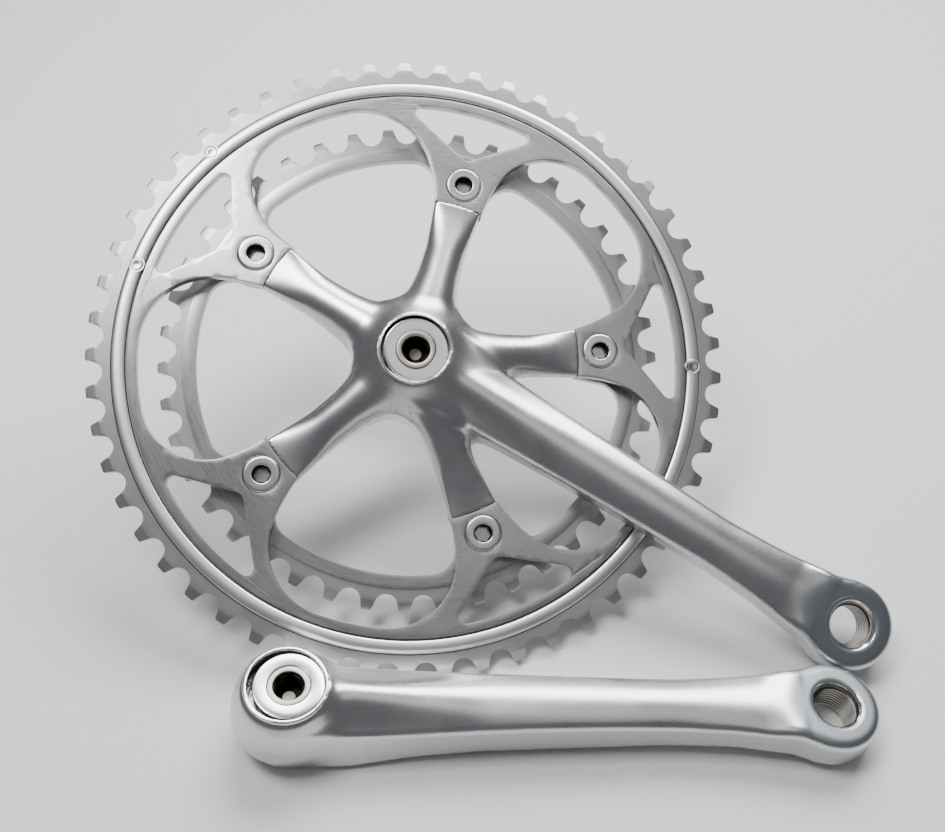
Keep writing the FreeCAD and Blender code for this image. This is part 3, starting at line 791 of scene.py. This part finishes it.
def innerOpening():
    # hub space and openings of the inner ring, with round corners beside each tab
    band, half, fillet = innerRing["band"], innerRing["tabHalf"], innerRing["fillet"]
    across = half + fillet
    reach = math.sqrt((band - fillet) ** 2 - across ** 2)
    corner = math.degrees(math.atan2(across, reach))
    seamTurn = math.degrees(math.asin((half - 1.9) / crank["seam"]))
    up = arcPoints((reach, across), fillet, -90, corner)
    rim = arcPoints((0, 0), band, corner, 72 - corner, 1.5)
    seam = arcPoints((0, 0), crank["seam"], -seamTurn, seamTurn)
    down = arcPoints((reach, -across), fillet, -corner, 90)
    sector = np.concatenate([down, seam, up, rim])
    return np.concatenate([turnFlat(sector, angle) for angle in spider["angles"]])


def beadRows():
    # groove painted dark as shade, half-ellipse bead, and the thin groove outside it, also painted dark as shade
    turn = np.radians(np.linspace(174, 6, 15))
    across = bead["centre"] + bead["half"] * np.cos(turn)
    height = bead["foot"] + bead["rise"] * np.sin(turn)
    rows = [(95.0, -0.85), (95.9, -0.85), *zip(across, height), (100.5, -0.75), (100.75, -0.5)]
    marks = [grooveShadeMark] * 2 + [beadMark] * 14 + [grooveShadeMark] * 2 + [toothMark]
    return rows, marks


def chainring(name, ring, openings, rows, rowMarks, node):
    # flat web with its openings, and the toothed rim round it
    web = plate([circleLoop(ring["plateEdge"], 360)] + openings + roundHoles(), *ring["web"],
                webMark)
    makePiece(name, [web, toothedRim(ring, rows, rowMarks)], rightFrame, "right_crank",
              ringFinishes, [node], 20.0)


chainring("outer_ring_shape", outerRing,
          [starOpening()] + [tabWindow(angle) for angle in spider["angles"]], *beadRows(),
          "outer_chainring")
chainring("inner_ring_shape", innerRing, [innerOpening()],
          [(innerRing["inner"], innerRing["front"])], [toothMark], "inner_chainring")

pins = [(100.0, 167.8), (98.2, 195.2), (98.1, 32.0)]  # radius and turn of each shift pin


def ringBolt(angle):
    # turned outline of a thin flange with a rounded edge, a bevelled mouth and a hexagon
    # socket; 1 in the third place is a row of the hexagon
    profile = [(0.001, -3.6, 0), (2.887, -3.6, 1), (2.887, -0.6, 1), (2.95, -0.3, 0),
               (3.05, 0.2, 0), (3.12, 0.34, 0), (3.24, 0.43, 0), (3.4, 0.47, 0),
               (3.6, 0.48, 0), (5.2, 0.5, 0), (5.5, 0.48, 0), (5.75, 0.4, 0),
               (5.95, 0.26, 0), (6.08, 0.08, 0), (6.15, -0.15, 0), (6.15, -1.2, 0),
               (3.95, -1.2, 0), (3.95, -8.2, 0), (0.001, -8.2, 0)]
    # the socket's floor and walls are painted near black as shade
    marks = [1] * 4 + [0] * 15
    return turned(profile, tuple(polar(spider["boltCircle"], angle)), 72, marks, hexagon)


def capDisc():
    # turned outline of the chromed disc, with a faint dish and rounded edges
    profile = [(6.66, 5.4), (6.66, 11.1), (6.8, 11.27), (7.1, 11.32), (9.0, 11.22),
               (10.3, 11.32), (10.6, 11.26), (10.8, 11.0), (10.85, 10.7), (10.85, 5.4)]
    return turned(profile, columns=144)


def crankBolt():
    # turned outline of a round head with a round mouth, a hexagon socket and a drilled spot
    profile = [(0.001, 3.6, 0), (1.9, 3.6, 0), (2.05, 3.5, 0), (2.1, 3.0, 0),
               (4.62, 3.0, 1), (4.62, 9.7, 1), (4.66, 10.0, 0), (4.7, 10.9, 0),
               (4.85, 11.1, 0), (5.05, 11.2, 0), (6.2, 11.22, 0), (6.42, 11.15, 0),
               (6.5, 10.9, 0), (6.5, 4.3, 0), (9.6, 4.3, 0), (9.6, 1.3, 0), (4.0, 1.3, 0),
               (4.0, -13.7, 0), (0.001, -13.7, 0)]
    # the socket's walls and floor are painted near black as shade; the drilled spot keeps a steel tone
    marks = [2, 2] + [1] * 5 + [0] * 12
    return turned(profile, (0.0, 0.0), 96, marks, hexagon)


def shiftPin(radius, angle):
    # turned outline of the riveted head on its spot-faced seat, and the lifting pin behind
    profile = [(0.001, 0.5), (1.0, 0.54), (1.6, 0.62), (1.8, 0.6), (1.9, 0.5),
               (1.95, 0.2), (2.1, 0.2), (2.15, 0.42), (2.25, 0.47), (2.5, 0.47),
               (2.65, 0.38), (2.65, -0.9), (1.25, -0.95), (1.25, -4.4), (2.4, -4.4),
               (2.4, -4.85), (2.2, -5.0), (0.001, -5.0)]
    # the channel round the head is painted dark as shade
    return turned(profile, tuple(polar(radius, angle)), 48,
                  [0] * 4 + [2] * 3 + [1] * 5 + [0] * 6)


boltFinishes = [finish["ringBolt"], finish["socket"]]
for number, angle in enumerate(spider["angles"], 1):
    makePiece("ring_bolt_shape_%d" % number, [ringBolt(angle)], rightFrame, "right_crank",
              boltFinishes, ["chainring_bolt_%d" % number])
for side, place in (("right", rightFrame), ("left", leftFrame)):
    makePiece(side + "_cap_shape", [capDisc()], place, side + "_crank", [finish["chrome"]],
              [side + "_release_cap"])
    makePiece(side + "_bolt_shape", [crankBolt()], place, side + "_bolt",
              [finish["boltHead"], finish["socket"], finish["dimple"]],
              [side + "_crank_bolt"])
for number, (radius, angle) in enumerate(pins, 1):
    makePiece("pin_shape_%d" % number, [shiftPin(radius, angle)], rightFrame, "right_crank",
              [finish["pin"], finish["bead"], finish["grooveShade"]],
              ["shift_pin_%d" % number])

# nodes that stay as they are, and the finish that each gets
kept = {"slip_ring": "slip", "washer": "pin", "chainring_nut": "ringBolt",
        "drop_pin": "pin"}
for name, node in frame["nodes"].items():
    for word, look in kept.items():
        if word in name:
            node.data.materials.clear()
            node.data.materials.append(finish[look])
print("carried nodes finished")


studio = {"floor": (0.80, 0.80, 0.79), "floorHalf": 3.0, "sky": (0.86, 0.88, 0.92),
          "skyStrength": 0.16}
view = {"place": (0.0381, -0.2697, 0.2771), "turn": (40.868, -1.378, 0.373), "lens": 42.66,
        "shift": (-0.0714, 0.0095)}


# each light: where it stands, what it faces, its size and its power
lights = {"overhead": ((-0.26, 0.0, 0.80), (-0.02, 0, 0), (0.28, 0.34), 5.5),
          "fill": ((0.20, -0.26, 0.80), (0, -0.02, 0), (0.34, 0.34), 0.26),
          "behind": ((0.18, 0.46, 0.66), (0.03, -0.08, 0), (0.70, 0.42), 10.5)}


def makeFloor(height):
    mesh = bpy.data.meshes.new("floor")
    size = studio["floorHalf"]
    mesh.from_pydata([(-size, -size, height), (size, -size, height), (size, size, height),
                      (-size, size, height)], [], [(0, 1, 2, 3)])
    material, _, _, shader = finishStart("paleFloor")
    shader.inputs["Base Color"].default_value = (*studio["floor"], 1)
    shader.inputs["Roughness"].default_value = 0.7
    mesh.materials.append(material)
    floor = bpy.data.objects.new("floor", mesh)
    bpy.context.scene.collection.objects.link(floor)
    floor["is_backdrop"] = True


def softLight(name, place, target, size, power):
    light = bpy.data.lights.new(name, "AREA")
    light.shape, light.size, light.size_y = "RECTANGLE", size[0], size[1]
    light.energy = power
    lamp = bpy.data.objects.new(name, light)
    lamp.location = place
    direction = np.array(target) - np.array(place)
    lamp.rotation_euler = Vector(direction).to_track_quat("-Z", "Y").to_euler()
    bpy.context.scene.collection.objects.link(lamp)


def makeWorld():
    world = bpy.data.worlds.new("studio")
    world.use_nodes = True
    back = world.node_tree.nodes["Background"]
    back.inputs["Color"].default_value = (*studio["sky"], 1)
    back.inputs["Strength"].default_value = studio["skyStrength"]
    bpy.context.scene.world = world


def makeCamera():
    data = bpy.data.cameras.new("camera")
    data.lens, data.sensor_width = view["lens"], 36.0
    data.shift_x, data.shift_y = view["shift"]
    data.clip_start = 0.01
    camera = bpy.data.objects.new("camera", data)
    camera.location = view["place"]
    camera.rotation_euler = [math.radians(a) for a in view["turn"]]
    bpy.context.scene.collection.objects.link(camera)
    bpy.context.scene.camera = camera


makeFloor(float(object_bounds()[0][2]))
for name, (place, target, size, power) in lights.items():
    softLight(name, place, target, size, power)
makeWorld()
makeCamera()
print("floor, lights and camera made")
